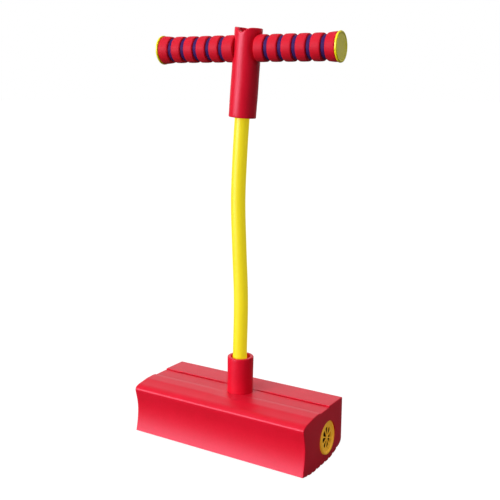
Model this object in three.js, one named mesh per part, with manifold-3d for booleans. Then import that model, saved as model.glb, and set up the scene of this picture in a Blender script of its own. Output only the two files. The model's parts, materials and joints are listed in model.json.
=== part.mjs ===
// Foam jumping stick for a child: a foam block that bounces on the floor, an elastic tube that stands
// out of it, and a T-shaped head of a foam sleeve and a handlebar with foam rings.
// Millimetres, +Z up. X runs along the block and the handlebar, and -Y is the side with the hollow
// front face. The origin is on the underside, at the middle of the block.
import * as THREE from "three";
import { mergeVertices } from "three/addons/utils/BufferGeometryUtils.js";
import Module from "manifold-3d";

// ---- driving dimensions ---------------------------------------------------------------------------
const GAP = 0.3; // between pieces that touch
const BLOCK_LENGTH = 260;
const BLOCK_FRONT = -54; // the widest reach of the hollow front face
const BLOCK_BACK = 53.4;
const BLOCK_TOP = 72.7;
const CHANNEL_FLOOR = 71.1; // the shallow channel that runs the length of the top
const CHANNEL_FRONT = -9;
const CHANNEL_BACK = 15.6;
const RIB_PITCH = 11.4; // the ribs that run the length of the underside
const RIB_CREST = 6;
const RIB_DEPTH = 1.6;
const TREAD_FRONT = -26; // the ribs between these two rest on the floor
const TREAD_BACK = 16;
const FRONT_RISE = 4.8; // how far the underside has curved up at the front and the back
const BACK_RISE = 11;

const STICK_X = 3; // where the tube stands in the block
const STICK_Y = 4;
const TUBE_R = 9.3;
const TUBE_BORE_R = 5;
const TUBE_NECK = 0.74; // of its width, where it is drawn in to pass through the washer
const TUBE_SPREAD = 1.06; // and where the plug spreads it
const WASHER_HOLE_R = 7.4;
const TUBE_FOOT = 8; // the tube's lower end, inside the block
const COLLAR_R = 17.1;
const FOAM_BORE_R = 12.5; // of the collar and the sleeve
const COLLAR_SEAT = 65.1;
const COLLAR_TOP = 119.6;
const RECESS_R = 19.3; // the recess in the underside that hides the tube's anchor
const RECESS_TOP = 24;

const HEAD = new THREE.Vector3(15, STICK_Y, 513); // where the handlebar crosses the sleeve
const HEAD_LEAN = THREE.MathUtils.degToRad(5.26); // of the sleeve, towards +X
const BAR_TILT = THREE.MathUtils.degToRad(0.45); // of the handlebar, from level
const BAR_YAW = THREE.MathUtils.degToRad(4); // of the handlebar, from the block's length
const SLEEVE_R = 17.2;
const SLEEVE_FOOT = -82.9; // from the handlebar's axis, along the sleeve
const SLEEVE_TOP = 21.5;
const SLEEVE_WAVE = 3; // its top edge stands this much higher, and dips this much front and back
const DIP_WIDTH = 0.42; // of each dip, as a share of the radius
const BAR_R = 8;
const BAR_BORE_R = 6.3;
const GRIP_START = 14.9; // from the sleeve's axis to the first ring
const LEFT_PUSH = 2; // how much further into the sleeve the first ring on the left reaches
const RED_RINGS = 6;
const RED_LENGTH = 13.35;
const BLUE_LENGTH = 4.95;
const RED_R = 16.05;
const RED_FLARE = 1.2; // the last ring is wider at the cap, which it is squeezed against
const BLUE_R = 14.1;
const CAP_R = 18;
const CAP_THICKNESS = 2.7;

// The hanger is an eye round the handlebar with a ribbed stem that the tube's top is pushed over. Its
// distances are from the handlebar's axis, along the sleeve.
const EYE_R = 10.8;
const EYE_HALF_LENGTH = 6;
const STEM_R = TUBE_BORE_R - GAP;
const STEM_FOOT = -33;
const STEM_RIB = 2.5;
const TUBE_END = -11.6;
const CLAMP_R = 11.4;
const CLAMP_FOOT = -28;
const CLAMP_TOP = -19;

const SQUEAKER_Y = 11.8; // the squeaker is let into the block's +X end
const SQUEAKER_Z = 31.6;
const SQUEAKER_R = 21.5;
const SQUEAKER_SLANT = THREE.MathUtils.degToRad(3.5); // of its axis, both upwards and to the back
const RIM_DEPTH = 9; // of the pocket for the cap's rim
const BELLOWS_POCKET_R = 18.2;
const BELLOWS_POCKET_DEPTH = 52;

// The heights where one moving length of the tube ends and the next begins.
const BEND_LOW = 159;
const BEND_HIGH = 225;
const STRETCH = 320;
const TWIST = 425;

// ---- materials ------------------------------------------------------------------------------------
const finish = (color, roughness, metalness = 0) =>
  new THREE.MeshStandardMaterial({ color, roughness, metalness });
const redFoam = finish(0xe8283f, 0.75);
const blueFoam = finish(0x4a4396, 0.8);
const yellowRubber = finish(0xf2e21e, 0.4);
const yellowPlastic = finish(0xe6d82a, 0.35);
const whitePlastic = finish(0xe9e7e0, 0.45);

// ---- joining and cutting --------------------------------------------------------------------------
const wasm = await Module();
wasm.setup();

function solidOf(geometry) {
  const bare = geometry.clone();
  bare.deleteAttribute("normal");
  bare.deleteAttribute("uv");
  const merged = mergeVertices(bare, 1e-4);
  return new wasm.Manifold(
    new wasm.Mesh({
      numProp: 3,
      vertProperties: merged.getAttribute("position").array,
      triVerts: new Uint32Array(merged.index.array),
    }),
  );
}

function geometryOf(solid) {
  const { vertProperties, triVerts } = solid.getMesh();
  return new THREE.BufferGeometry()
    .setAttribute("position", new THREE.BufferAttribute(vertProperties, 3))
    .setIndex(new THREE.BufferAttribute(triVerts, 1));
}

// The geometry with each tool's volume taken away.
const cut = (geometry, ...tools) =>
  geometryOf(tools.reduce((solid, tool) => solid.subtract(solidOf(tool)), solidOf(geometry)));

const join = (one, other) => geometryOf(solidOf(one).add(solidOf(other)));

// ---- shapes that the pieces share -----------------------------------------------------------------
// A solid of revolution about Z. The profile lists [radius, z] so that the outside runs upwards.
function turned(profile, segments = 24) {
  const points = profile.map(([radius, z]) => new THREE.Vector2(radius, z));
  return new THREE.LatheGeometry(points, segments).rotateX(Math.PI / 2);
}

// A pipe about Z, or a rod when it has no bore.
function pipe(radius, bore, low, high, segments = 24) {
  const outside = [[bore, low], [radius, low], [radius, high], [bore, high]];
  return turned(bore > 0 ? [...outside, [bore, low]] : outside, segments);
}

// Turns a shape made about Z so that it lies about X.
const alongX = (geometry) => geometry.rotateY(Math.PI / 2);

function piece(name, geometry, material) {
  geometry.deleteAttribute("normal");
  geometry.computeVertexNormals();
  const mesh = new THREE.Mesh(geometry, material);
  mesh.name = name;
  return mesh;
}

// ---- the foam block -------------------------------------------------------------------------------
// The underside's height: flat on the tread, and curving up towards the front and the back.
function crown(y) {
  const front = Math.max(0, TREAD_FRONT - y) / (TREAD_FRONT - BLOCK_FRONT);
  const back = Math.max(0, y - TREAD_BACK) / (BLOCK_BACK - TREAD_BACK);
  return FRONT_RISE * front ** 1.5 + BACK_RISE * back ** 1.5;
}

// The block's end outline, drawn with y across and z up.
function blockOutline() {
  const outline = new THREE.Shape();
  outline.moveTo(BLOCK_FRONT, crown(BLOCK_FRONT));
  for (let rib = -4; rib <= 3; rib += 1) {
    const y = TREAD_FRONT + RIB_CREST / 2 + (rib + 2) * RIB_PITCH;
    outline.lineTo(y - RIB_CREST / 2, crown(y - RIB_CREST / 2));
    outline.lineTo(y + RIB_CREST / 2, crown(y + RIB_CREST / 2));
    outline.lineTo(y + RIB_PITCH / 2, crown(y + RIB_PITCH / 2) + RIB_DEPTH);
  }
  outline.lineTo(45.8, crown(45.8));
  outline.quadraticCurveTo(52.4, 10.2, 52.8, 15.8);
  outline.lineTo(BLOCK_BACK, BLOCK_TOP - 1.9);
  outline.quadraticCurveTo(BLOCK_BACK, BLOCK_TOP - 0.8, BLOCK_BACK - 1.5, BLOCK_TOP - 0.7);
  outline.lineTo(CHANNEL_BACK, BLOCK_TOP - 0.1);
  outline.lineTo(CHANNEL_BACK - 1, CHANNEL_FLOOR);
  outline.lineTo(CHANNEL_FRONT, CHANNEL_FLOOR);
  outline.lineTo(CHANNEL_FRONT - 2, BLOCK_TOP);
  outline.lineTo(-29, BLOCK_TOP - 0.3);
  outline.quadraticCurveTo(-36, 70.9, -44, 70);
  outline.quadraticCurveTo(-53, 68.6, -53.5, 63.8);
  outline.bezierCurveTo(-52.8, 57, -49, 52, -48.4, 42);
  outline.bezierCurveTo(-48, 32, -49.2, 20, BLOCK_FRONT, crown(BLOCK_FRONT));
  return outline;
}

// Places a geometry made about Z so that it lies in the squeaker's slanting pocket: its z is the
// distance from the block's end face, counted inwards.
function inPocket(geometry) {
  geometry.rotateY(-Math.PI / 2 - SQUEAKER_SLANT).rotateZ(SQUEAKER_SLANT);
  return geometry.translate(BLOCK_LENGTH / 2, SQUEAKER_Y, SQUEAKER_Z);
}

function baseBlock() {
  const { Matrix4, Vector3 } = THREE;
  const block = new THREE.ExtrudeGeometry(blockOutline(), {
    depth: BLOCK_LENGTH,
    bevelEnabled: false,
    curveSegments: 6,
  });
  block.translate(0, 0, -BLOCK_LENGTH / 2);
  block.applyMatrix4(
    new Matrix4().makeBasis(new Vector3(0, 1, 0), new Vector3(0, 0, 1), new Vector3(1, 0, 0)),
  );
  const stick = (geometry) => geometry.translate(STICK_X, STICK_Y, 0);
  return cut(
    block,
    stick(pipe(RECESS_R, 0, -10, RECESS_TOP)),
    stick(pipe(TUBE_R + 1, 0, 0, 100)),
    stick(pipe(COLLAR_R + GAP, 0, COLLAR_SEAT, 100)),
    inPocket(pipe(SQUEAKER_R + GAP, 0, -10, RIM_DEPTH)),
    inPocket(pipe(BELLOWS_POCKET_R, 0, 0, BELLOWS_POCKET_DEPTH)),
  );
}

// ---- the squeaker ---------------------------------------------------------------------------------
const VENTS = 8;
const VENT_DEEP = 6; // past both faces of the plate
const VENT_IN = 3.8;
const VENT_OUT = 14;
const VENT_START = 0.8; // half its width at its inner end
const VENT_END = 3.4; // and at its outer end

// One tapered opening of the star, wider at its outer end, which is round.
function vent(angle) {
  const shape = new THREE.Shape();
  shape.moveTo(VENT_IN, -VENT_START);
  shape.lineTo(VENT_OUT - 2, -VENT_END);
  shape.quadraticCurveTo(VENT_OUT + 2, 0, VENT_OUT - 2, VENT_END);
  shape.lineTo(VENT_IN, VENT_START);
  const options = { depth: VENT_DEEP, bevelEnabled: false, curveSegments: 4 };
  return inPocket(new THREE.ExtrudeGeometry(shape, options).rotateZ(angle));
}

function squeakerCap() {
  const dish = [
    [0, 2], [0, 4.4], [19.9, 4.4], [19.9, 8.5], [SQUEAKER_R, 8.5], [SQUEAKER_R, 0.3],
    [20.4, -0.5], [19, 0.4], [17.6, 3], [3.4, 3], [2.6, 2], [0, 2],
  ];
  const vents = Array.from({ length: VENTS }, (_, i) => vent((i * 2 * Math.PI) / VENTS));
  return cut(inPocket(turned(dish.reverse(), 32)), ...vents);
}

// The bellows that the block squeezes: three folds, open to the cap, with a neck for the reed.
function squeakerBellows() {
  const wall = 0.9;
  const folds = 3;
  const start = 4.8;
  const pitch = 10;
  const end = start + folds * pitch;
  const outside = [[17.6, start]];
  for (let fold = 0; fold < folds; fold += 1) {
    outside.push([14.4, start + (fold + 0.5) * pitch], [17.6, start + (fold + 1) * pitch]);
  }
  const inside = outside.map(([radius, z]) => [radius - wall * 1.2, z]).reverse();
  inside[0][1] = end;
  const profile = [...outside, [16, end + 1.5], [5.3, end + 1.5], [5.3, end], ...inside];
  return inPocket(turned([...profile, outside[0]], 20));
}

// ---- the elastic tube -----------------------------------------------------------------------------
const headAxis = new THREE.Vector3(Math.sin(HEAD_LEAN), 0, Math.cos(HEAD_LEAN));
const alongHead = (distance) => HEAD.clone().addScaledVector(headAxis, distance);

// Straight up out of the block, a gentle S between the collar and the sleeve, and then straight
// along the leaning sleeve.
const route = new THREE.CatmullRomCurve3(
  [
    ...[[3, 0], [3, 60], [3, 118], [4.9, 196], [2.6, 265], [1.1, 325], [3.5, 378]].map(
      ([x, z]) => new THREE.Vector3(x, STICK_Y, z),
    ),
    ...[-86, -50, 0, 30].map(alongHead),
  ],
  false,
  "centripetal",
);

// The route's point at a height, found by halving because the route always climbs.
function routeAt(z) {
  let low = 0;
  let high = 1;
  for (let i = 0; i < 40; i += 1) {
    const middle = (low + high) / 2;
    if (route.getPoint(middle).z < z) low = middle;
    else high = middle;
  }
  return route.getPoint(low);
}

class RouteLength extends THREE.Curve {
  constructor(low, high) {
    super();
    this.low = low;
    this.high = high;
  }
  getPoint(t, target = new THREE.Vector3()) {
    return target.copy(routeAt(THREE.MathUtils.lerp(this.low, this.high, t)));
  }
}

// One length of the tube between two heights, with each section scaled by squeeze(height).
function tubeLength(low, high, step, squeeze) {
  const section = new THREE.Shape().absarc(0, 0, TUBE_R, 0, 2 * Math.PI);
  section.holes.push(new THREE.Path().absarc(0, 0, TUBE_BORE_R, 0, 2 * Math.PI, true));
  const geometry = new THREE.ExtrudeGeometry(section, {
    steps: Math.round((high - low) / step),
    bevelEnabled: false,
    curveSegments: 6,
    extrudePath: new RouteLength(low + GAP / 2, high - GAP / 2),
  });
  if (squeeze) {
    const position = geometry.getAttribute("position");
    const point = new THREE.Vector3();
    for (let i = 0; i < position.count; i += 1) {
      point.fromBufferAttribute(position, i);
      const width = squeeze(point.z);
      point.lerpVectors(routeAt(point.z), point, width);
      position.setXYZ(i, point.x, point.y, point.z);
    }
  }
  return geometry;
}

// How the tube's width changes at its foot: drawn in where it passes through the washer, and spread
// by the plug below it.
const WASHER_MIDDLE = 22;
function footSqueeze(z) {
  const { smoothstep } = THREE.MathUtils;
  const below = WASHER_MIDDLE - z;
  const drawnIn = smoothstep(below, -8, -2.5);
  const spreadOut = smoothstep(below, 4.5, 8);
  return 1 + (TUBE_NECK - 1) * drawnIn * (1 - spreadOut) + (TUBE_SPREAD - 1) * spreadOut;
}

// A tapered plug with a flange, pushed into the tube's foot. Its z runs from the flange inwards.
const tubePlug = () =>
  turned([[0, -1.6], [7.4, -1.6], [7.4, 0], [4.3, 0.4], [4.3, 5.5], [2, 11], [0, 11]], 16);

// ---- the handlebar's foam and caps ----------------------------------------------------------------
const RING_BORE_R = BAR_R + GAP;
const RING_EDGE = 2;

function redRing(flare, push) {
  const length = RED_LENGTH + push - GAP / 2;
  const inner = RED_R;
  const outer = RED_R + flare;
  return turned([
    [RING_BORE_R, 0], [inner - RING_EDGE, 0], [inner - 0.5, 0.6], [inner, RING_EDGE],
    [outer, length - RING_EDGE], [outer - 0.5, length - 0.6], [outer - RING_EDGE, length],
    [RING_BORE_R, length], [RING_BORE_R, 0],
  ], 20);
}

const blueRing = () => pipe(BLUE_R, RING_BORE_R, 0, BLUE_LENGTH - GAP, 20);

const endCap = () =>
  turned([
    [0, -12], [4.4, -12], [BAR_BORE_R - GAP, -10], [BAR_BORE_R - GAP, 0], [CAP_R - 0.4, 0],
    [CAP_R, 0.8], [CAP_R - 0.6, CAP_THICKNESS - 0.9], [CAP_R - 2.2, CAP_THICKNESS - 0.1],
    [10, CAP_THICKNESS], [0, CAP_THICKNESS],
  ]);

// The rings and the cap of one side: side is 1 for +X and -1 for -X.
function grip(word, side) {
  const group = new THREE.Group();
  const place = (name, geometry, distance, material) => {
    alongX(geometry);
    const mesh = piece(name, geometry, material);
    mesh.position.x = side * distance;
    if (side < 0) mesh.rotation.z = Math.PI;
    group.add(mesh);
  };
  const pitch = RED_LENGTH + BLUE_LENGTH;
  for (let ring = 1; ring <= RED_RINGS; ring += 1) {
    const start = GRIP_START + (ring - 1) * pitch;
    const last = ring === RED_RINGS;
    const push = ring === 1 && side < 0 ? LEFT_PUSH : 0;
    const red = redRing(last ? RED_FLARE : 0, push);
    place(`${word}_red_ring_${ring}`, red, start - push, redFoam);
    if (!last) {
      place(`${word}_blue_ring_${ring}`, blueRing(), start + RED_LENGTH + GAP / 2, blueFoam);
    }
  }
  const end = GRIP_START + (RED_RINGS - 1) * pitch + RED_LENGTH;
  place(`${word}_end_cap`, endCap(), end + GAP / 2, yellowPlastic);
  return group;
}

// ---- the head -------------------------------------------------------------------------------------
const GRIP_END = GRIP_START + RED_RINGS * RED_LENGTH + (RED_RINGS - 1) * BLUE_LENGTH;

// The eye lies along the handlebar, and its stem along the sleeve.
function tubeHanger(barMatrix) {
  const eye = alongX(pipe(EYE_R, BAR_R + GAP, -EYE_HALF_LENGTH, EYE_HALF_LENGTH));
  const stem = [[0, STEM_FOOT], [STEM_R - 1.2, STEM_FOOT]];
  for (let z = STEM_FOOT + STEM_RIB; z < TUBE_END - STEM_RIB; z += STEM_RIB) {
    stem.push([STEM_R, z], [STEM_R - 0.6, z + 0.1]);
  }
  stem.push([STEM_R, TUBE_END], [STEM_R, 0.2 - EYE_R + 1], [0, 0.2 - EYE_R + 1]);
  return join(eye.applyMatrix4(barMatrix), turned(stem, 16));
}

// The sleeve, pierced by the handlebar and dented by the first rings. Its top edge is cut with a
// bell-shaped dip at the front and the back.
function upperSleeve(barMatrix) {
  const sleeve = turned([
    [FOAM_BORE_R, SLEEVE_FOOT], [SLEEVE_R - 1, SLEEVE_FOOT], [SLEEVE_R, SLEEVE_FOOT + 1],
    [SLEEVE_R, 0], [SLEEVE_R, SLEEVE_TOP - 1], [SLEEVE_R - 1, SLEEVE_TOP],
    [FOAM_BORE_R, SLEEVE_TOP], [FOAM_BORE_R, 0], [FOAM_BORE_R, SLEEVE_FOOT],
  ]);
  const position = sleeve.getAttribute("position");
  for (let i = 0; i < position.count; i += 1) {
    const [x, y, z] = [position.getX(i), position.getY(i), position.getZ(i)];
    const reach = Math.max(0, z) / SLEEVE_TOP;
    const aside = x / Math.hypot(x, y);
    const dip = Math.exp(-((aside / DIP_WIDTH) ** 2));
    position.setZ(i, z + SLEEVE_WAVE * reach * (1 - 2 * dip));
  }
  const acrossBar = (geometry) => alongX(geometry).applyMatrix4(barMatrix);
  return cut(
    sleeve,
    acrossBar(pipe(BAR_R + GAP, 0, -40, 40)),
    acrossBar(pipe(RED_R + GAP, 0, GRIP_START - GAP, 40)),
    acrossBar(pipe(RED_R + GAP, 0, -40, GAP + LEFT_PUSH - GRIP_START)),
  );
}

function head() {
  const group = new THREE.Group();
  group.position.copy(HEAD);
  group.rotation.y = HEAD_LEAN;

  const bar = new THREE.Group();
  bar.rotation.order = "YXZ";
  bar.rotation.set(0, BAR_TILT - HEAD_LEAN, BAR_YAW);
  bar.updateMatrix();
  const barTube = alongX(pipe(BAR_R, BAR_BORE_R, -GRIP_END, GRIP_END));
  bar.add(piece("handlebar_tube", barTube, whitePlastic), grip("right", 1), grip("left", -1));

  const clamp = pipe(CLAMP_R, TUBE_R + GAP, CLAMP_FOOT, CLAMP_TOP);
  group.add(
    piece("upper_sleeve", upperSleeve(bar.matrix), redFoam),
    piece("tube_hanger", tubeHanger(bar.matrix), whitePlastic),
    piece("tube_clamp", clamp, whitePlastic),
    bar,
  );
  return group;
}

// ---- the whole ------------------------------------------------------------------------------------
const jumpingStick = new THREE.Group();

const standing = (mesh) => {
  mesh.position.set(STICK_X, STICK_Y, 0);
  return mesh;
};

const collar = turned([
  [FOAM_BORE_R, COLLAR_SEAT + GAP], [COLLAR_R, COLLAR_SEAT + GAP], [COLLAR_R, COLLAR_TOP - 1],
  [COLLAR_R - 1, COLLAR_TOP], [FOAM_BORE_R + 0.6, COLLAR_TOP], [FOAM_BORE_R, COLLAR_TOP - 0.6],
  [FOAM_BORE_R, COLLAR_SEAT + GAP],
]);
const washer = pipe(18.4, WASHER_HOLE_R, RECESS_TOP - 3.5, RECESS_TOP - GAP);
const plugInFoot = tubePlug().translate(0, 0, TUBE_FOOT - 0.4);

jumpingStick.add(
  piece("base_block", baseBlock(), redFoam),
  standing(piece("base_plug", pipe(RECESS_R - GAP, 0, 0, 5), redFoam)),
  standing(piece("anchor_washer", washer, whitePlastic)),
  standing(piece("lower_tube_plug", plugInFoot, whitePlastic)),
  standing(piece("lower_collar", collar, redFoam)),
  piece("squeaker_cap", squeakerCap(), yellowPlastic),
  piece("squeaker_bellows", squeakerBellows(), yellowPlastic),
  piece("squeaker_reed_holder", inPocket(pipe(4.9, 3.4, 33, 46, 16)), whitePlastic),
  piece("squeaker_reed", inPocket(new THREE.BoxGeometry(0.5, 5, 9).translate(0, 0, 40)), whitePlastic),
  piece("tube_root", tubeLength(TUBE_FOOT, BEND_LOW, 6, footSqueeze), yellowRubber),
  piece("tube_lower", tubeLength(BEND_LOW, BEND_HIGH, 16), yellowRubber),
  piece("tube_middle", tubeLength(BEND_HIGH, STRETCH, 16), yellowRubber),
  piece("tube_upper", tubeLength(STRETCH, TWIST, 16), yellowRubber),
  piece("tube_head", tubeLength(TWIST, alongHead(TUBE_END).z, 16), yellowRubber),
  head(),
);

export default jumpingStick;
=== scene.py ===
# Foam jumping stick for a child, put together from the floor up: the foam block and what is let into
# it, the elastic tube, the foam sleeve at its top, and the handlebar with its foam rings and caps.
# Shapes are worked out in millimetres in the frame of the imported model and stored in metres.
import json

import bmesh
import bpy
import numpy as np
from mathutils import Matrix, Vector


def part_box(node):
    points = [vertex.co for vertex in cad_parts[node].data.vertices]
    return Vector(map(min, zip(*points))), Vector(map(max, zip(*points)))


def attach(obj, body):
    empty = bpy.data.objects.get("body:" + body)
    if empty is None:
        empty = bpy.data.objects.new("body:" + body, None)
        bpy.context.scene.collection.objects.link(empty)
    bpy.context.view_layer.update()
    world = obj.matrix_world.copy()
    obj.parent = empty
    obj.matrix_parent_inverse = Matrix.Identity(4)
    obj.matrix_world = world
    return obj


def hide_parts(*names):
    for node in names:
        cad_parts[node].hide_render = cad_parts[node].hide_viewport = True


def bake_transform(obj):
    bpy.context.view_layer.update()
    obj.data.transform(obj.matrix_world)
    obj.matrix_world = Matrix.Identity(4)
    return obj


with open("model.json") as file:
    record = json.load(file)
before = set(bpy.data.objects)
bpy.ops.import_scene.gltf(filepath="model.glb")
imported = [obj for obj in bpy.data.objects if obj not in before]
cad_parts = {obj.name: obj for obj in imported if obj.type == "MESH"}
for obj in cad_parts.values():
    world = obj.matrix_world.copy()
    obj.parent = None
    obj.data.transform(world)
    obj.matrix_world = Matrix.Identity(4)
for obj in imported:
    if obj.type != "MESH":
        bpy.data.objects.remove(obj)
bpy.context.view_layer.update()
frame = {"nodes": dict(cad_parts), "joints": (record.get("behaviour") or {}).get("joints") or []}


# ---- foam block ------------------------------------------------------------------------------------
# The block that the child stands on and bounces with. It is closed-cell rubber foam, moulded as a long
# bar with a hollow front, a shallow channel along its top and a ribbed sole, and sawn to length.
MM = 0.001


def box(node):
    """The lowest and the highest corner of a CAD node, in millimetres."""
    return [np.array(corner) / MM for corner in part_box(node)]


def middle(node):
    """The middle of a CAD node's box, in millimetres."""
    return sum(box(node)) / 2


def bezier(*controls, steps=8):
    """Points along a Bezier curve, its last one left out: neighbouring controls are mixed in the share t
    of the way from one to the next, again and again, until one point is left for each t."""
    share = np.linspace(0, 1, steps, endpoint=False)[:, None]
    layer = [np.array([control], float) for control in controls]
    while len(layer) > 1:
        layer = [start + (end - start) * share for start, end in zip(layer, layer[1:])]
    return layer[0]


def spaced(outline, gap):
    """The closed outline with points added evenly on its long sides, so that no two are gap apart."""
    ends = np.roll(outline, -1, 0)
    counts = np.ceil(np.linalg.norm(ends - outline, axis=1) / gap).astype(int).clip(1)
    side = np.repeat(np.arange(len(outline)), counts)
    share = (np.arange(len(side)) - np.repeat(np.cumsum(counts) - counts, counts)) / counts[side]
    return outline[side] + (ends - outline)[side] * share[:, None]


def skin(name, grid, wrap=False, crease=38):
    """A closed mesh over a grid of points in millimetres. Each row is a ring and quads join a ring to
    the next, and the last to the first where wrap is true; a ring shrunk to a point closes an end.
    Faces are turned outwards by the sign of the volume they enclose: the sum over their triangles of
    the first corner times the cross product of the other two. Edges above crease degrees stay sharp."""
    rows, columns = grid.shape[:2]
    index = np.arange(rows * columns).reshape(rows, columns)
    here, following = (index, np.roll(index, -1, 0)) if wrap else (index[:-1], index[1:])
    quads = np.stack([here, np.roll(here, -1, 1), np.roll(following, -1, 1), following], -1)
    quads = quads.reshape(-1, 4)
    points = grid.reshape(-1, 3) * MM
    a, b, c, d = (points[quads[:, corner]] for corner in range(4))
    if (a * (np.cross(b, c) + np.cross(c, d))).sum() < 0:
        quads = quads[:, ::-1]
    mesh = bpy.data.meshes.new(name)
    mesh.from_pydata(points, [], quads.tolist())
    joined = bmesh.new()
    joined.from_mesh(mesh)
    bmesh.ops.remove_doubles(joined, verts=joined.verts, dist=1e-6)
    joined.to_mesh(mesh)
    joined.free()
    mesh.shade_smooth()
    mesh.set_sharp_from_angle(angle=np.radians(crease))
    piece = bpy.data.objects.new(name, mesh)
    bpy.context.scene.collection.objects.link(piece)
    return piece


def turned(profile, columns=96):
    """A solid of revolution about Z: the point (radius, height) of the profile goes to
    (radius x cos a, radius x sin a, height) at each angle a. Rows follow the profile."""
    radius, height = np.array(profile, float).T[:, :, None]
    a = np.linspace(0, 2 * np.pi, columns, endpoint=False)
    return np.stack([radius * np.cos(a), radius * np.sin(a), height + 0 * a], -1)


def cut(piece, tool, operation="DIFFERENCE", crease=38):
    """Takes the tool's volume out of the piece, or adds it with UNION, and removes the tool."""
    boolean = piece.modifiers.new("cut", "BOOLEAN")
    boolean.object = tool
    boolean.operation = operation
    boolean.solver = "MANIFOLD"
    shape = piece.evaluated_get(bpy.context.evaluated_depsgraph_get())
    mesh = bpy.data.meshes.new_from_object(shape)
    piece.modifiers.clear()
    piece.data = mesh
    bpy.data.objects.remove(tool)
    mesh.shade_smooth()
    mesh.set_sharp_from_angle(angle=np.radians(crease))


def linear(hex_colour):
    """The linear red, green, blue and alpha of an sRGB hex colour."""
    srgb = np.array([int(hex_colour[i : i + 2], 16) for i in (0, 2, 4)]) / 255
    return (*np.where(srgb > 0.04045, ((srgb + 0.055) / 1.055) ** 2.4, srgb / 12.92), 1)


def add(tree, kind, inputs=(), **settings):
    """Adds a node of a kind. Settings are its own properties, and inputs maps a socket to a value or
    to the socket that feeds it."""
    made = tree.nodes.new(kind)
    for key, value in settings.items():
        setattr(made, key, value)
    for socket, value in dict(inputs).items():
        if isinstance(value, bpy.types.NodeSocket):
            tree.links.new(value, made.inputs[socket])
        else:
            made.inputs[socket].default_value = value
    return made


def per_metre(size):
    """The texture scale that gives features of a size in millimetres on Object coordinates."""
    return 1 / (size * MM)


def rubber_foam(name, shadow, body, bloom, roughness, gloss):
    """Closed-cell rubber foam with a moulded skin: a soft satin, with a fine pebble of cells just under
    the skin, slow blotches where the skin is thinner or thicker, and a dusty bloom seen edge-on.
    Roughness is its average, and gloss is how strongly the skin reflects."""
    material = bpy.data.materials.new(name)
    material.use_nodes = True
    tree = material.node_tree
    tree.nodes.clear()
    place = add(tree, "ShaderNodeTexCoord").outputs["Object"]
    # Skin blotches are 15 to 30 mm across, and pores 2 mm.
    blotch = add(tree, "ShaderNodeTexNoise", {"Vector": place, "Scale": per_metre(22), "Detail": 3})
    grain = add(tree, "ShaderNodeTexNoise", {"Vector": place, "Scale": per_metre(2.2), "Detail": 4})
    # Real cells are 0.3 mm, too fine to show; these are drawn at 1.1 mm.
    cell = add(tree, "ShaderNodeTexVoronoi", {"Vector": place, "Scale": per_metre(1.1)})
    mixed = add(tree, "ShaderNodeMath", {0: blotch.outputs["Fac"], 1: grain.outputs["Fac"]}, operation="ADD")
    spread = add(tree, "ShaderNodeMapRange", {0: mixed.outputs[0], 1: 0.7, 2: 1.3, 3: 0.0, 4: 1.0})
    colour = add(
        tree,
        "ShaderNodeMix",
        {0: spread.outputs[0], 6: linear(shadow), 7: linear(body)},
        data_type="RGBA",
    )
    rough = add(
        tree,
        "ShaderNodeMapRange",
        {0: grain.outputs["Fac"], 1: 0.3, 2: 0.7, 3: roughness - 0.04, 4: roughness + 0.04},
    )
    relief = add(
        tree, "ShaderNodeMath", {0: cell.outputs["Distance"], 1: 0.5, 2: grain.outputs["Fac"]},
        operation="MULTIPLY_ADD",
    )
    bump = add(
        tree, "ShaderNodeBump", {"Strength": 0.16, "Distance": 0.35 * MM, "Height": relief.outputs[0]}
    )
    foam = add(
        tree,
        "ShaderNodeBsdfPrincipled",
        {
            "Base Color": colour.outputs[2],
            "Roughness": rough.outputs[0],
            "Specular IOR Level": gloss,
            "Specular Tint": linear("ffd0f0"),
            "Sheen Weight": 0.05,
            "Sheen Roughness": 0.4,
            "Sheen Tint": linear(bloom),
            "Normal": bump.outputs[0],
        },
    )
    add(tree, "ShaderNodeOutputMaterial", {"Surface": foam.outputs[0]})
    return material


def dress(piece, material, slot, *nodes, foam=None):
    """Gives a finished piece its material and hides the CAD nodes that it stands for. The slot is not used.
    Foam is not used."""
    piece.data.materials.clear()
    piece.data.materials.append(material)
    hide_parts(*nodes)
    return piece


red_foam = rubber_foam("red_rubber_foam", "d00a24", "d80c2a", "ff9ab0", 0.39, 0.4)

block_low, block_high = box("base_block")
FRONT, BACK = block_low[1], block_high[1]
LEFT_END, RIGHT_END = block_low[0], block_high[0]
TOP = block_high[2]
CHANNEL_DEPTH = 1.6
CHANNEL_FRONT, CHANNEL_BACK = -9, 15.6
BEVEL = 0.45  # how far the front land leans back down to the channel
CREASE = 1.3  # how far the channel's back edge is undercut, where the skin folds in
CREASE_START, CREASE_FADE = 3, 5  # from each end, the undercut starts here and grows over this
TREAD_FRONT, TREAD_BACK = -26, 16  # the sole is level between these
FRONT_RISE, BACK_RISE = 4.8, 11  # and has curved up by these at the front and the back
RIB_PITCH, RIB_DEPTH = 11.4, 1.6
FIRST_GROOVE = -40.1
SOLE_BACK = 45.8
SAWN_EDGE = 0.9  # how round the sawn ends' edges are
PRESSED, PRESS_REACH = 0.9, 16  # the collar presses this share of the lands' height down, and this far off
PAST = 10  # how far a cutting shape reaches past the surface it cuts

stick = middle("lower_collar")  # the tube and its collar stand on this axis
squeaker = np.array([RIGHT_END, 11.8, 31.6])  # the middle of its mouth in the end face
collar_low, collar_high = box("lower_collar")
COLLAR_R = (collar_high[0] - collar_low[0]) / 2


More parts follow.
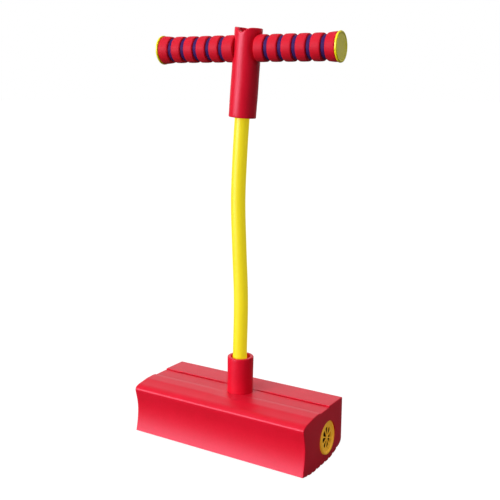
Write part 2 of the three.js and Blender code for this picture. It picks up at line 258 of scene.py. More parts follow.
def sole(y):
    """The underside's height at y: level on the tread, and rising beyond it with the power 1.5 of the
    distance. Each groove between two ribs is a bell curve, RIB_DEPTH high and 1.5 mm to its shoulder."""
    front = np.maximum(0, TREAD_FRONT - y) / (TREAD_FRONT - FRONT)
    back = np.maximum(0, y - TREAD_BACK) / (BACK - TREAD_BACK)
    off_groove = (y - FIRST_GROOVE + RIB_PITCH / 2) % RIB_PITCH - RIB_PITCH / 2
    grooved = np.abs(y) < SOLE_BACK
    groove = np.where(grooved, RIB_DEPTH * np.exp(-((off_groove / 1.5) ** 2)), 0)
    return FRONT_RISE * front**1.5 + BACK_RISE * back**1.5 + groove


def block_outline(crease):
    """The block's end outline as points (y, z): along the sole, up the back, and forward over the top
    with its channel to the hollow front. The crease is how far the channel's back is undercut."""
    y = np.arange(FRONT, SOLE_BACK, 0.8)
    floor = TOP - CHANNEL_DEPTH
    heel = sole(np.array(SOLE_BACK))
    foot = FRONT_RISE
    return np.concatenate([
        np.stack([y, sole(y)], 1),
        bezier((SOLE_BACK, heel), (52.4, 10.2), (52.8, 15.8)),
        bezier((52.8, 15.8), (BACK, TOP - 2.4), steps=1),
        bezier((BACK, TOP - 2.4), (BACK, TOP - 0.7), (BACK - 1.7, TOP - 0.7)),
        bezier((BACK - 1.7, TOP - 0.7), (CHANNEL_BACK + 0.7, TOP - 0.1), steps=1),
        bezier(
            (CHANNEL_BACK + 0.7, TOP - 0.1), (CHANNEL_BACK, TOP - 0.1), (CHANNEL_BACK, TOP - 0.5), steps=3
        ),
        bezier((CHANNEL_BACK, TOP - 0.5), (CHANNEL_BACK + crease, floor - 0.5), steps=1),
        bezier((CHANNEL_BACK + crease, floor - 0.5), (CHANNEL_BACK - 0.1, floor - 0.6), steps=1),
        bezier(
            (CHANNEL_BACK - 0.1, floor - 0.6), (CHANNEL_BACK - 0.5, floor), (CHANNEL_BACK - 1.4, floor),
            steps=3,
        ),
        bezier((CHANNEL_BACK - 1.4, floor), (CHANNEL_FRONT + 0.4, floor), steps=1),
        bezier(
            (CHANNEL_FRONT + 0.4, floor), (CHANNEL_FRONT - 0.5, floor), (CHANNEL_FRONT - 0.8, floor + 0.8),
            steps=3,
        ),
        bezier(
            (CHANNEL_FRONT - 0.8, floor + 0.8), (CHANNEL_FRONT - 0.9, TOP - BEVEL),
            (CHANNEL_FRONT - 1.2, TOP - BEVEL), steps=3,
        ),
        bezier((CHANNEL_FRONT - 1.2, TOP - BEVEL), (CHANNEL_FRONT - 5.5, TOP + 0.1), steps=1),
        bezier((CHANNEL_FRONT - 5.5, TOP + 0.1), (-29, TOP - 0.3), steps=1),
        bezier((-29, TOP - 0.3), (-36, 70.9), (-44, 70)),
        bezier((-44, 70), (-53, 68.6), (-53.5, 63.8), steps=10),
        bezier((-53.5, 63.8), (-52.9, 58), (-50, 51), (-49.3, 41), steps=14),
        bezier((-49.3, 41), (-48.7, 31), (-49.8, 20), (FRONT, foot), steps=16),
    ])


def block_grid():
    """The block as one sheet of rings: from a point out over the left end, along the bar, and over the
    right end to a point. A ring is the end outline, shrunk towards the squeaker's middle by its share,
    or drawn in along its normals to round the sawn edge by a quarter circle. The channel's crease fades
    in from each end."""
    outline, creased = (spaced(block_outline(depth), 2.5) for depth in (0, CREASE))
    along = np.roll(outline, -1, 0) - np.roll(outline, 1, 0)
    normal = np.stack([along[:, 1], -along[:, 0]], 1) / np.linalg.norm(along, axis=1, keepdims=True)
    hub = squeaker[1:]
    turn = np.linspace(0, np.pi / 2, 6)
    # Each ring is how far it is in from the end, its share of the outline, and how far it is drawn in.
    face = [(0, share, SAWN_EDGE) for share in (0, 0.33, 0.66)]
    edge = [(SAWN_EDGE * (1 - np.cos(t)), 1, SAWN_EDGE * (1 - np.sin(t))) for t in turn]
    end = np.array(face + edge)
    length = np.linspace(LEFT_END + 3, RIGHT_END - 3, 104)
    left, right = end * [1, 1, 1] + [LEFT_END, 0, 0], end[::-1] * [-1, 1, 1] + [RIGHT_END, 0, 0]
    bar = np.stack([length, 1 + 0 * length, 0 * length], 1)
    x, share, inset = np.concatenate([left, bar, right]).T[:, :, None, None]
    inside = np.clip((RIGHT_END - np.abs(x) - CREASE_START) / CREASE_FADE, 0, 1)
    flat = hub + share * (outline + inside * (creased - outline) - inset * normal - hub)
    return np.concatenate([x + 0 * flat[..., :1], flat], -1)


def pressed_by_collar(grid):
    """Draws the top's lands down to the channel's floor near the collar, where the tube pulls the foam
    in: the share of the height lost is a bell curve of the distance from the collar."""
    floor = TOP - CHANNEL_DEPTH
    away = np.hypot(grid[..., 0] - stick[0], grid[..., 1] - stick[1]) - COLLAR_R
    share = PRESSED * np.exp(-((np.maximum(0, away) / PRESS_REACH) ** 2))
    above = np.maximum(0, grid[..., 2] - floor)
    grid[..., 2] -= above * share
    return grid


foam_block = skin("foam_block", pressed_by_collar(block_grid()))
COLLAR_SEAT = 65.1
CLEARANCE = 0.3  # between a piece and the hole that it sits in
RECESS_R, RECESS_TOP = 19.3, 24
BORE_R = 10.3
well = [
    (0, -PAST), (RECESS_R, -PAST), (RECESS_R, RECESS_TOP), (BORE_R, RECESS_TOP), (BORE_R, COLLAR_SEAT),
    (COLLAR_R + CLEARANCE, COLLAR_SEAT), (COLLAR_R + CLEARANCE, TOP + PAST), (0, TOP + PAST),
]
cut(foam_block, skin("well", turned(well) + [stick[0], stick[1], 0]))

# The squeaker's pocket slants a little upwards and to the back, as it was cut by hand.
SLANT = np.radians(3.5)
POCKET_R, POCKET_DEPTH = 18.2, 52
RIM_POCKET_R, RIM_POCKET_DEPTH = 21.8, 9


def in_pocket(grid):
    """Lays a grid made about Z in the squeaker's pocket, its z counted inwards from the end face: its
    z goes to -X, which is then raised about Y and swung about Z by the slant."""
    x, y, depth = np.moveaxis(grid, -1, 0)
    out, up = -depth * np.cos(SLANT) - x * np.sin(SLANT), x * np.cos(SLANT) - depth * np.sin(SLANT)
    aside = [out * np.cos(SLANT) - y * np.sin(SLANT), out * np.sin(SLANT) + y * np.cos(SLANT)]
    return np.stack([RIGHT_END + aside[0], squeaker[1] + aside[1], squeaker[2] + up], -1)


pocket = [
    (0, -PAST), (RIM_POCKET_R, -PAST), (RIM_POCKET_R, RIM_POCKET_DEPTH), (POCKET_R, RIM_POCKET_DEPTH),
    (POCKET_R, POCKET_DEPTH), (0, POCKET_DEPTH),
]
cut(foam_block, skin("pocket", in_pocket(turned(pocket))))
dress(foam_block, red_foam, "red_foam", "base_block", foam=0.9)
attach(foam_block, "base")


# ---- anchor under the block ------------------------------------------------------------------------
# The tube is drawn down through a plastic washer and spread by a plug, so that it can't pull out. A
# foam disc glued into the recess hides them and leaves the sole level.
def rounded(corners, steps=5):
    """A profile through corners (x, y, radius), each corner replaced by an arc tangent to both sides.
    The arc's centre lies on the corner's bisector, at radius / sin(half the angle)."""
    corners = np.array(corners, float)
    points = corners[:, :2]
    parts = []
    for here, before, after, radius in zip(
        points, np.roll(points, 1, 0), np.roll(points, -1, 0), corners[:, 2]
    ):
        if radius == 0:
            parts.append(here[None])
            continue
        back = (before - here) / np.linalg.norm(before - here)
        ahead = (after - here) / np.linalg.norm(after - here)
        half = np.arccos(np.clip(back @ ahead, -1, 1)) / 2
        bisector = (back + ahead) / np.linalg.norm(back + ahead)
        centre = here + bisector * radius / np.sin(half)
        start = here + back * radius / np.tan(half) - centre
        end = here + ahead * radius / np.tan(half) - centre
        share = np.linspace(0, 1, steps + 1)[:, None]
        sweep = np.arccos(np.clip(start @ end / radius**2, -1, 1))
        arc = np.sin((1 - share) * sweep) * start + np.sin(share * sweep) * end
        parts.append(centre + arc / np.sin(sweep))
    return np.concatenate(parts)


def moulded_plastic(name, body, pale, roughness, glow=0.0):
    """Injection-moulded polypropylene or ABS: an even colour with faint flow marks, and a satin skin
    that softens its highlights. Glow is a weak emission that stands in for light scattered through
    thin plastic to its shaded side."""
    material = bpy.data.materials.new(name)
    material.use_nodes = True
    tree = material.node_tree
    tree.nodes.clear()
    place = add(tree, "ShaderNodeTexCoord").outputs["Object"]
    # Flow marks are 6 to 12 mm, and the mould's spark-eroded grain is drawn at 0.8 mm.
    flow = add(tree, "ShaderNodeTexNoise", {"Vector": place, "Scale": per_metre(9), "Detail": 2})
    grain = add(tree, "ShaderNodeTexNoise", {"Vector": place, "Scale": per_metre(0.8), "Detail": 2})
    colour = add(
        tree,
        "ShaderNodeMix",
        {0: flow.outputs["Fac"], 6: linear(body), 7: linear(pale)},
        data_type="RGBA",
    )
    rough = add(
        tree, "ShaderNodeMapRange",
        {0: flow.outputs["Fac"], 1: 0.3, 2: 0.7, 3: roughness - 0.05, 4: roughness + 0.05},
    )
    bump = add(
        tree, "ShaderNodeBump",
        {"Strength": 0.12, "Distance": 0.1 * MM, "Height": grain.outputs["Fac"]},
    )
    plastic = add(
        tree,
        "ShaderNodeBsdfPrincipled",
        {
            "Base Color": colour.outputs[2],
            "Roughness": rough.outputs[0],
            "Emission Color": linear(pale),
            "Emission Strength": glow,
            "Normal": bump.outputs[0],
        },
    )
    add(tree, "ShaderNodeOutputMaterial", {"Surface": plastic.outputs[0]})
    return material


white_plastic = moulded_plastic("white_polypropylene", "e4e1d8", "efece4", 0.42)

disc_low, disc_high = box("base_plug")
disc_r = (disc_high[0] - disc_low[0]) / 2
disc = rounded([
    (0, disc_low[2], 0), (disc_r, disc_low[2], 0.9), (disc_r, disc_high[2], 0.5), (0, disc_high[2], 0),
])
foam_disc = skin("foam_cover_disc", turned(disc) + [stick[0], stick[1], 0])
dress(foam_disc, red_foam, "red_foam", "base_plug", foam=0.9)
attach(foam_disc, "base")


def repaint(node, material):
    """Gives a CAD node that keeps its shape a material."""
    mesh = frame["nodes"][node].data
    mesh.materials.clear()
    mesh.materials.append(material)


for hidden in ("anchor_washer", "lower_tube_plug"):
    repaint(hidden, white_plastic)


# ---- collar ----------------------------------------------------------------------------------------
# A short length of thick foam pipe, glued into a seat in the block. It is cut from the same stock as
# the sleeve, and handling has left its wall slightly uneven and its rim soft.
FOAM_BORE_R = 12.5
collar_foot, collar_top = collar_low[2], collar_high[2]
COLLAR_LEAN = 0.02  # to the right, for each millimetre up


def foam_pipe(radius, bore, low, high, rim):
    """A closed profile (radius, height) of a foam pipe with soft rims, in short steps."""
    return spaced(
        rounded([(bore, low, 0.5), (radius, low, 0.8), (radius, high, rim), (bore, high, rim)]), 3
    )


def uneven(grid, radius, depth):
    """Hand-worn unevenness: the outer wall's distance from the axis swells and shrinks by depth with
    two slow sine waves of the angle and the height."""
    angle = np.arctan2(grid[..., 1], grid[..., 0])
    reach = np.hypot(grid[..., 0], grid[..., 1])
    wave = np.sin(2 * angle + grid[..., 2] / 9) + 0.7 * np.sin(3 * angle - grid[..., 2] / 14 + 1)
    outer = np.clip((reach - radius + 3) / 3, 0, 1)
    grid[..., :2] *= (1 + depth * wave * outer / radius)[..., None]
    return grid


collar_grid = uneven(
    turned(foam_pipe(COLLAR_R, FOAM_BORE_R, collar_foot, collar_top, 1.3)), COLLAR_R, 0.12
)
collar_grid[..., 0] += COLLAR_LEAN * (collar_grid[..., 2] - collar_foot)
foam_collar = skin("foam_collar", collar_grid + [stick[0], stick[1], 0], wrap=True)
dress(foam_collar, red_foam, "red_foam", "lower_collar", foam=0.85)
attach(foam_collar, "base")


# ---- elastic tube ----------------------------------------------------------------------------------
# One length of thick-walled latex tube, extruded, so it is satin, a little translucent and has faint
# lines along it. It stands in a gentle S, and bends, stretches and twists all along its length.
TUBE_R, TUBE_BORE_R = 9.3, 5
TUBE_NECK = 0.74  # of its width, where it is drawn in to pass through the washer
TUBE_SPREAD = 1.06  # and where the plug spreads it
TUBE_FOOT = 8
TUBE_END = -11.6  # from the handlebar's axis, along the sleeve

head_middle = middle("handlebar_tube")  # where the handlebar crosses the sleeve
joints = {joint["name"]: joint for joint in frame["joints"]}
sleeve_axis = np.array(joints["handle_twist"]["axis"], float)
sleeve_axis /= np.linalg.norm(sleeve_axis)


def tube_route():
    """The tube's centre line, as points close together on a centripetal Catmull-Rom curve: between two
    stops the curve is the cubic whose end slopes come from the neighbouring stops, with each gap
    counted as the square root of its length."""
    standing = [(3, 0), (3, 60), (3, 118), (4.9, 196), (2.6, 265), (1.1, 325), (3.5, 378)]
    stops = [np.array([x, stick[1], z]) for x, z in standing]
    stops += [head_middle + sleeve_axis * distance for distance in (-86, -50, 0, 30)]
    stops = [2 * stops[0] - stops[1], *stops, 2 * stops[-1] - stops[-2]]
    share = np.linspace(0, 1, 40, endpoint=False)[:, None]
    parts = []
    for p0, p1, p2, p3 in zip(stops, stops[1:], stops[2:], stops[3:]):
        g0, g1, g2 = (np.sqrt(np.linalg.norm(b - a)) for a, b in ((p0, p1), (p1, p2), (p2, p3)))
        leave = ((p1 - p0) / g0 - (p2 - p0) / (g0 + g1) + (p2 - p1) / g1) * g1
        arrive = ((p2 - p1) / g1 - (p3 - p1) / (g1 + g2) + (p3 - p2) / g2) * g1
        rise = p2 - p1
        square = 3 * rise - 2 * leave - arrive
        cube = leave + arrive - 2 * rise
        parts.append(p1 + leave * share + square * share**2 + cube * share**3)
    return np.concatenate(parts)


route = tube_route()


def smooth(value, start, end):
    """0 before start, 1 after end, and 3t squared less 2t cubed between them."""
    t = np.clip((value - start) / (end - start), 0, 1)
    return t * t * (3 - 2 * t)


def squeeze(z):
    """The tube's width at a height, as a share of its own: drawn in through the washer, and spread by
    the plug below it."""
    below = middle("anchor_washer")[2] - z
    drawn_in, spread_out = smooth(below, -8, -2.5), smooth(below, 4.5, 8)
    return 1 + (TUBE_NECK - 1) * drawn_in * (1 - spread_out) + (TUBE_SPREAD - 1) * spread_out


def tube_length(name, low, high):
    """A length of the tube between two heights: up its outside and down its bore. Each ring lies in the
    plane across the route, on the route's side direction and the Y direction."""
    z = np.linspace(low, high, int((high - low) / 2) + 1)
    centre = np.stack([np.interp(z, route[:, 2], route[:, 0]), stick[1] + 0 * z, z], 1)
    step = 0.5
    run = np.interp(z + step, route[:, 2], route[:, 0]) - np.interp(z - step, route[:, 2], route[:, 0])
    side = np.stack([2 * step + 0 * z, 0 * z, -run], 1)
    side /= np.linalg.norm(side, axis=1, keepdims=True)
    a = np.linspace(0, 2 * np.pi, 48, endpoint=False)[:, None]
    across = side[:, None] * np.cos(a) + np.array([0, 1, 0]) * np.sin(a)
    outside = centre[:, None] + across * (TUBE_R * squeeze(z))[:, None, None]
    inside = centre[:, None] + across * (TUBE_BORE_R * squeeze(z))[:, None, None]
    return skin(name, np.concatenate([outside, inside[::-1]]), wrap=True)


def latex(name, body, deep):
    """Extruded latex: a warm translucent yellow with a satin surface and faint die lines that run up
    the tube. A weak emission stands in for the light that scatters through the rubber to its shaded
    side."""
    material = bpy.data.materials.new(name)
    material.use_nodes = True
    tree = material.node_tree
    tree.nodes.clear()
    place = add(tree, "ShaderNodeTexCoord").outputs["Object"]
    cloud = add(tree, "ShaderNodeTexNoise", {"Vector": place, "Scale": per_metre(30), "Detail": 2})
    # Die lines are 1 mm apart round the tube and 60 mm long.
    drawn = add(tree, "ShaderNodeMapping", {"Vector": place, "Scale": (1, 1, 1 / 60)})
    line = add(tree, "ShaderNodeTexNoise", {"Vector": drawn.outputs[0], "Scale": per_metre(1), "Detail": 1})
    colour = add(
        tree,
        "ShaderNodeMix",
        {0: cloud.outputs["Fac"], 6: linear(body), 7: linear(deep)},
        data_type="RGBA",
    )
    rough = add(tree, "ShaderNodeMapRange", {0: line.outputs["Fac"], 1: 0.3, 2: 0.7, 3: 0.34, 4: 0.46})
    bump = add(
        tree, "ShaderNodeBump",
        {"Strength": 0.1, "Distance": 0.1 * MM, "Height": line.outputs["Fac"]},
    )
    rubber = add(
        tree,
        "ShaderNodeBsdfPrincipled",
        {
            "Base Color": colour.outputs[2],
            "Roughness": rough.outputs[0],
            "IOR": 1.52,
            "Subsurface Weight": 0.3,
            "Subsurface Radius": (1.0, 0.85, 0.15),
            "Subsurface Scale": 3 * MM,
            "Emission Color": linear("fce41c"),
            "Emission Strength": 0.44,
            "Normal": bump.outputs[0],
        },
    )
    add(tree, "ShaderNodeOutputMaterial", {"Surface": rubber.outputs[0]})
    return material


yellow_latex = latex("yellow_latex", "c6b616", "c0b010")

# Each length is made between its two heights; the bodies and the stretch in the table are not used.
tube_top = (head_middle + sleeve_axis * TUBE_END)[2]
lengths = [
    # name, heights from and to, bodies below and above, where the change starts and ends, CAD nodes
    ("latex_tube_foot", TUBE_FOOT, 192, "base", "lower_length", 126, 192, ["tube_root"]),
    ("latex_tube_low", 192, 258, "lower_length", "middle_length", 192, 258, ["tube_lower"]),
    ("latex_tube_mid", 258, 400, "middle_length", "upper_length", 258, 396, ["tube_middle"]),
    ("latex_tube_top", 400, tube_top, "upper_length", "head", 402, 440, ["tube_upper", "tube_head"]),
]
for name, low, high, lower_body, upper_body, start, end, stands_for in lengths:
    tube = tube_length(name, low, high)
    dress(tube, yellow_latex, "yellow_rubber", *stands_for)
    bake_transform(tube)


# ---- squeaker --------------------------------------------------------------------------------------
# A bellows of soft plastic pushed into the block's end, with a vented cap that snaps over its mouth.
# Each landing blows air past the reed. The cap is moulded polypropylene with a proud, rounded rim.
CAP_RIM_R = 21.5
PLATE_DEPTH = 0.8
PLATE_BACK = 1.8
VENTS = 8
VENT_IN, VENT_OUT = 2.6, 14  # how far from the axis each opening starts and ends
VENT_START, VENT_END = 0.7, 4.6  # and half its width there


def squeaker_cap():
    """The cap's profile (radius, depth) turned about its axis, from the plate's face to its back."""
    profile = rounded([
        (0, 0.4, 0), (1.4, 0.4, 0.2), (1.9, PLATE_DEPTH, 0.2), (18, PLATE_DEPTH, 0.5),
        (18.6, -0.5, 0.5), (CAP_RIM_R, -0.5, 1.0), (CAP_RIM_R, 8.5, 0.3), (19.9, 8.5, 0.3),
        (19.9, PLATE_BACK, 0.3), (0, PLATE_BACK, 0),
    ])
    return skin("squeaker_vent_cap", in_pocket(turned(profile, 128)))


def vent(turn):
    """One tapered opening of the star, as a bar through the plate."""
    outline = rounded([
        (VENT_IN, -VENT_START, 0.2), (VENT_OUT, -VENT_END, 2.6),
        (VENT_OUT, VENT_END, 2.6), (VENT_IN, VENT_START, 0.2),
    ])
    outline = outline @ np.array([[np.cos(turn), np.sin(turn)], [-np.sin(turn), np.cos(turn)]])
    hub = outline.mean(0) + 0 * outline
    ends = [(hub, -1), (outline, -1), (outline, 4), (hub, 4)]
    grid = np.stack([np.concatenate([ring, depth + 0 * ring[:, :1]], 1) for ring, depth in ends])
    return skin("vent", in_pocket(grid))


vent_cap = squeaker_cap()
for number in range(VENTS):
    cut(vent_cap, vent(number * 2 * np.pi / VENTS))
amber_plastic = moulded_plastic("amber_polypropylene", "e4a424", "eaac2c", 0.4, glow=0.26)
dress(vent_cap, amber_plastic, "yellow_plastic", "squeaker_cap")
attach(vent_cap, "base")

# The bellows are coloured a dark brown that is painted shade, for the shadowed inside of the squeaker seen
# through the cap's vents.
repaint("squeaker_bellows", moulded_plastic("bellows_painted_shade", "2c2008", "362808", 0.5))
for hidden in ("squeaker_reed_holder", "squeaker_reed"):
    repaint(hidden, white_plastic)


# ---- sleeve ----------------------------------------------------------------------------------------
# A length of the same foam pipe over the tube's top. The handlebar is pushed through it, so its wall
# rolls in round the two holes, and its open top springs up at the sides and dips front and back.
sleeve_foot, sleeve_top = -82.9, 21.5  # from the handlebar's axis, along the sleeve
SLEEVE_R = 17.2
SLEEVE_WAVE, DIP_WIDTH = 3, 0.42
ROLL, ROLL_WIDTH = 1.1, 3  # how far the wall rolls in round the holes, and over what distance
BAR_R = 8
RING_R = 16.05
GRIP_START = 14.9
LEFT_PUSH = 2  # how much further into the sleeve the first ring on the left reaches

bar_ends = middle("left_blue_ring_5"), middle("right_blue_ring_5")
bar_axis = (bar_ends[1] - bar_ends[0]) / np.linalg.norm(bar_ends[1] - bar_ends[0])


def laid_along(grid, axis):
    """Turns a grid made about Z so that its z runs along the axis from the head's middle. Its y stays
    as near to the Y direction as it can."""
    x = np.cross([0, 1, 0], axis) if abs(axis[2]) > 0.5 else np.cross(axis, [0, 0, 1])
    x /= np.linalg.norm(x)
    return head_middle + grid @ np.array([x, np.cross(axis, x), axis])


def sleeve_grid():
    """The sleeve's pipe with its top edge lifted by the sleeve's wave, and its wall rolled in round the
    two sides of the handlebar. The lift is the wave less twice a bell curve of cos a, which cuts a dip
    in the front and the back, and it fades to nothing at the handlebar's height. The roll is the
    square of how close the wall is to the rings."""
    grid = turned(foam_pipe(SLEEVE_R, FOAM_BORE_R, sleeve_foot, sleeve_top, 1.2), 128)
    a = np.arctan2(grid[..., 1], grid[..., 0])
    reach = np.clip(grid[..., 2], 0, None) / sleeve_top
    grid[..., 2] += SLEEVE_WAVE * reach * (1 - 2 * np.exp(-((np.cos(a) / DIP_WIDTH) ** 2)))
    uneven(grid, SLEEVE_R, 0.08)
    placed = laid_along(grid, sleeve_axis)
    off = placed - head_middle
    along = off @ bar_axis
    from_bar = np.linalg.norm(off - along[..., None] * bar_axis, axis=-1)
    outer = np.hypot(grid[..., 0], grid[..., 1]) > SLEEVE_R - 1.5
    beside = np.clip((np.abs(along) - 8) / 5, 0, 1)
    away = np.clip((from_bar - RING_R - CLEARANCE) / ROLL_WIDTH, 0, 1)
    roll = np.where(outer, ROLL * beside * (1 - away) ** 2, 0)
    radial = placed - head_middle - (off @ sleeve_axis)[..., None] * sleeve_axis
    return placed - radial / np.linalg.norm(radial, axis=-1, keepdims=True) * roll[..., None]


foam_sleeve = skin("foam_sleeve", sleeve_grid(), wrap=True)
seat_r, bar_hole_r, seat = RING_R + CLEARANCE, BAR_R + CLEARANCE, GRIP_START - CLEARANCE
side_end = 45  # past the sleeve's wall on both sides
piercing = [
    (0, -side_end), (seat_r, -side_end), (seat_r, LEFT_PUSH - seat), (bar_hole_r, LEFT_PUSH - seat),
    (bar_hole_r, seat), (seat_r, seat), (seat_r, side_end), (0, side_end),
]
cut(foam_sleeve, skin("piercing", laid_along(turned(piercing, 128), bar_axis)))
dress(foam_sleeve, red_foam, "red_foam", "upper_sleeve", foam=0.85)
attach(foam_sleeve, "head")


# ---- handlebar -------------------------------------------------------------------------------------
# A length of white plastic pipe that carries the rings. A moulded hanger sits round its middle, inside
# the sleeve: an eye, with a ribbed stem that the tube's top is pushed over and clamped to.
BAR_BORE_R = 6.3
bar_half = np.linalg.norm(middle("right_end_cap") - middle("left_end_cap")) / 2 + 4.35

bar_profile = rounded([
    (BAR_BORE_R, -bar_half, 0.4), (BAR_R, -bar_half, 0.4),
    (BAR_R, bar_half, 0.4), (BAR_BORE_R, bar_half, 0.4),
])
bar_pipe = skin("handlebar_pipe", laid_along(turned(bar_profile), bar_axis), wrap=True)
dress(bar_pipe, white_plastic, "white_plastic", "handlebar_tube")
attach(bar_pipe, "head")

EYE_R, EYE_HALF = 10.8, 6
STEM_R, STEM_FOOT, STEM_RIB = 4.7, -33, 2.5
eye = rounded([
    (bar_hole_r, -EYE_HALF, 0.4), (EYE_R, -EYE_HALF, 1.2),
    (EYE_R, EYE_HALF, 1.2), (bar_hole_r, EYE_HALF, 0.4),
])
hanger = skin("moulded_tube_hanger", laid_along(turned(eye), bar_axis), wrap=True)
ribs = np.arange(STEM_FOOT + STEM_RIB, TUBE_END - STEM_RIB, STEM_RIB)
barbs = [(radius, z + lift) for z in ribs for radius, lift in ((STEM_R, 0), (STEM_R - 0.6, 0.1))]
stem = [(0, STEM_FOOT), (STEM_R - 1.2, STEM_FOOT), *barbs, (STEM_R, TUBE_END), (STEM_R, -9.6), (0, -9.6)]
cut(hanger, skin("stem", laid_along(turned(stem, 48), sleeve_axis)), operation="UNION")
dress(hanger, white_plastic, "white_plastic", "tube_hanger")
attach(hanger, "head")

clamp_low, clamp_high, clamp_r = -28, -19, 11.4
clamp = rounded([
    (TUBE_R + CLEARANCE, clamp_low, 0.3), (clamp_r, clamp_low, 0.5),
    (clamp_r, clamp_high, 0.5), (TUBE_R + CLEARANCE, clamp_high, 0.3),
])
tube_band = skin("tube_clamp_band", laid_along(turned(clamp), sleeve_axis), wrap=True)
dress(tube_band, white_plastic, "white_plastic", "tube_clamp")
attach(tube_band, "head")


# ---- grip rings ------------------------------------------------------------------------------------
# Rings sawn from red foam pipe, with narrower blue rings of a thinner pipe between them, all pushed
# tight along the handlebar. Each red ring bulges a little, and the last flares against its end cap.
RED_RINGS = 6
RED_LENGTH, BLUE_LENGTH = 13.35, 4.95
BLUE_R = 14.1
RING_BORE_R = BAR_R + CLEARANCE
RED_FLARE = 1.2

blue_foam = rubber_foam("blue_rubber_foam", "301854", "3a1e62", "c8a4f0", 0.6, 0.15)
sawn_red_foam = rubber_foam("sawn_red_rubber_foam", "c6081e", "ce0a24", "ff9ab0", 0.6, 0.3)


def ring_profile(length, inner, outer, bulge, edge):
    """A closed ring profile (radius, distance): its wall runs from one radius to the other and stands
    proud of a straight line by the bulge, as a parabola."""
    corners = [(RING_BORE_R, 0, 0.3), (inner, 0, edge), (outer, length, edge), (RING_BORE_R, length, 0.3)]
    profile = spaced(rounded(corners, steps=6), 1.2)
    share = profile[:, 1] / length
    profile[:, 0] += np.where(profile[:, 0] > RING_BORE_R + 1, bulge * 4 * share * (1 - share), 0)
    return profile


def ring(node, name, profile, side, material, slot):
    """A ring on the handlebar where its CAD node is. Side is 1 to the right and -1 to the left."""
    start = side * (middle(node) - head_middle) @ bar_axis - profile[:, 1].max() / 2
    profile = profile + [0, start]
    made = skin(name, laid_along(turned(profile), side * bar_axis), wrap=True)
    dress(made, material, slot, node, foam=0.85)
    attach(made, "head")


for word, side in (("right", 1), ("left", -1)):
    for number in range(1, RED_RINGS + 1):
        last = number == RED_RINGS
        push = LEFT_PUSH * (number == 1 and side < 0)
        red = ring_profile(RED_LENGTH + push - 0.1, RING_R, RING_R + RED_FLARE * last, 0.3, 1.7)
        node = f"{word}_red_ring_{number}"
        ring(node, f"{word}_red_foam_ring_{number}", red, side, sawn_red_foam, "red_foam")
        if not last:
            blue = ring_profile(BLUE_LENGTH - 0.3, BLUE_R, BLUE_R, 0.1, 0.5)
            node = f"{word}_blue_ring_{number}"
            ring(node, f"{word}_blue_foam_ring_{number}", blue, side, blue_foam, "blue_foam")


# ---- end caps --------------------------------------------------------------------------------------
# Moulded plastic caps with a spigot that is a tight fit in the pipe. The outer face has a rounded rim
# that stands round a slightly dished middle.
CAP_R, CAP_THICKNESS, SPIGOT = 18, 2.7, 12
GRIP_END = GRIP_START + RED_RINGS * RED_LENGTH + (RED_RINGS - 1) * BLUE_LENGTH

lemon_plastic = moulded_plastic("lemon_abs", "ece010", "f0e61c", 0.34)
cap_profile = rounded([
    (0, -SPIGOT, 0), (4.6, -SPIGOT, 0.6), (BAR_BORE_R - 0.3, -SPIGOT + 2.5, 1), (BAR_BORE_R - 0.3, 0, 0),
    (CAP_R, 0, 0.5), (CAP_R, CAP_THICKNESS, 1.2), (CAP_R - 2.2, CAP_THICKNESS, 0.4),
    (CAP_R - 2.8, CAP_THICKNESS - 0.4, 0.4), (0, CAP_THICKNESS - 0.2, 0),
]) + [0, GRIP_END + 0.15]
for word, side in (("right", 1), ("left", -1)):
    cap = skin(f"{word}_bar_cap", laid_along(turned(cap_profile, 128), side * bar_axis))
    dress(cap, lemon_plastic, "yellow_plastic", f"{word}_end_cap")
    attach(cap, "head")


# ---- studio ----------------------------------------------------------------------------------------
# A plain white floor of the kind that is lit from below, so that it shows hardly a shadow, under a low
# soft key light from the left front, a large overhead light and a weak fill light from the right.
# The room behind is white and the rest of it is dark. The camera stands to the right front.
floor_mesh = bpy.data.meshes.new("floor")
reach = 40
floor_mesh.from_pydata(
    [(-reach, -reach, 0), (reach, -reach, 0), (reach, reach, 0), (-reach, reach, 0)], [], [(0, 1, 2, 3)]
)
floor = bpy.data.objects.new("floor", floor_mesh)
bpy.context.scene.collection.objects.link(floor)
paint = bpy.data.materials.new("white_light_table")
paint.use_nodes = True
table = paint.node_tree
table.nodes.clear()
seen = add(table, "ShaderNodeLightPath").outputs["Is Camera Ray"]
glow = add(table, "ShaderNodeMapRange", {0: seen, 3: 0.03, 4: 0.97})
acrylic = add(table, "ShaderNodeBsdfDiffuse", {"Color": linear("545454")})
lit = add(table, "ShaderNodeEmission", {"Strength": glow.outputs[0]})
both = add(table, "ShaderNodeAddShader", {0: acrylic.outputs[0], 1: lit.outputs[0]})
add(table, "ShaderNodeOutputMaterial", {"Surface": both.outputs[0]})
floor_mesh.materials.append(paint)


LAMP_DISTANCE = 3
OBJECT_MIDDLE = Vector((0, 0, 0.25))


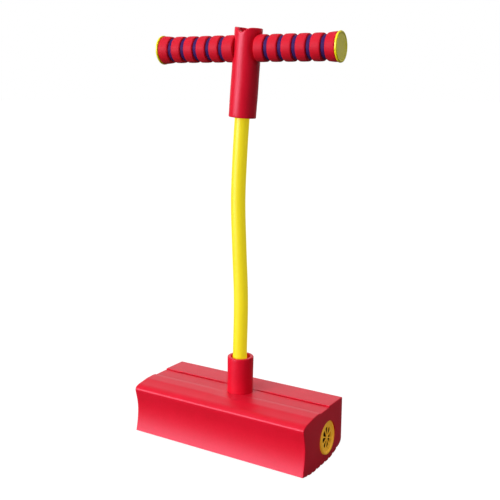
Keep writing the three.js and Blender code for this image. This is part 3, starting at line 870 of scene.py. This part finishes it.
def lamp(name, power, azimuth, elevation, spread, reflected):
    """A far lamp that shines on the object from a direction, in degrees: azimuth from +X towards +Y,
    and elevation above the floor. Spread is how wide it looks, in degrees, which softens its shadows,
    and a lamp that isn't reflected doesn't show in highlights."""
    light = bpy.data.lights.new(name, "SUN")
    light.energy = power
    light.angle = np.radians(spread)
    az, el = np.radians([azimuth, elevation])
    out = Vector((np.cos(el) * np.cos(az), np.cos(el) * np.sin(az), np.sin(el)))
    holder = bpy.data.objects.new(name, light)
    holder.location = OBJECT_MIDDLE + out * LAMP_DISTANCE
    holder.rotation_euler = out.to_track_quat("Z", "Y").to_euler()
    holder.visible_glossy = reflected
    bpy.context.scene.collection.objects.link(holder)


lamp("key", 4.6, -118, 5, spread=36, reflected=True)
lamp("overhead", 2.3, -100, 74, spread=80, reflected=False)
lamp("fill", 0.85, 10, 0, spread=60, reflected=False)

# The room's own light, by direction: white at the back left, and dark everywhere else.
world = bpy.data.worlds.new("studio")
bpy.context.scene.world = world
world.use_nodes = True
sky = world.node_tree
sky.nodes.clear()
seen = add(sky, "ShaderNodeLightPath").outputs["Is Camera Ray"]
heading = add(sky, "ShaderNodeTexCoord").outputs["Generated"]
toward = add(
    sky, "ShaderNodeVectorMath", {0: heading, 1: (-0.5, 0.85, 0)}, operation="DOT_PRODUCT"
)
room = add(sky, "ShaderNodeMapRange", {0: toward.outputs["Value"], 1: 0.4, 2: 0.9, 3: 0.04, 4: 1.0})
pale = add(sky, "ShaderNodeMix", {0: seen, 2: room.outputs[0], 3: 1.0})
glow = add(sky, "ShaderNodeBackground", {"Color": (1, 1, 1, 1), "Strength": pale.outputs[0]})
add(sky, "ShaderNodeOutputWorld", {"Surface": glow.outputs[0]})

camera_data = bpy.data.cameras.new("camera")
camera_data.sensor_width = 36
camera_data.lens = 55.55
camera = bpy.data.objects.new("camera", camera_data)
camera.location = (0.52795, -0.81526, 0.4592)
camera.rotation_euler = np.radians([90 - 11.45, 0, 31.86])
bpy.context.scene.collection.objects.link(camera)
bpy.context.scene.camera = camera
bpy.context.scene.view_settings.view_transform = "Standard"
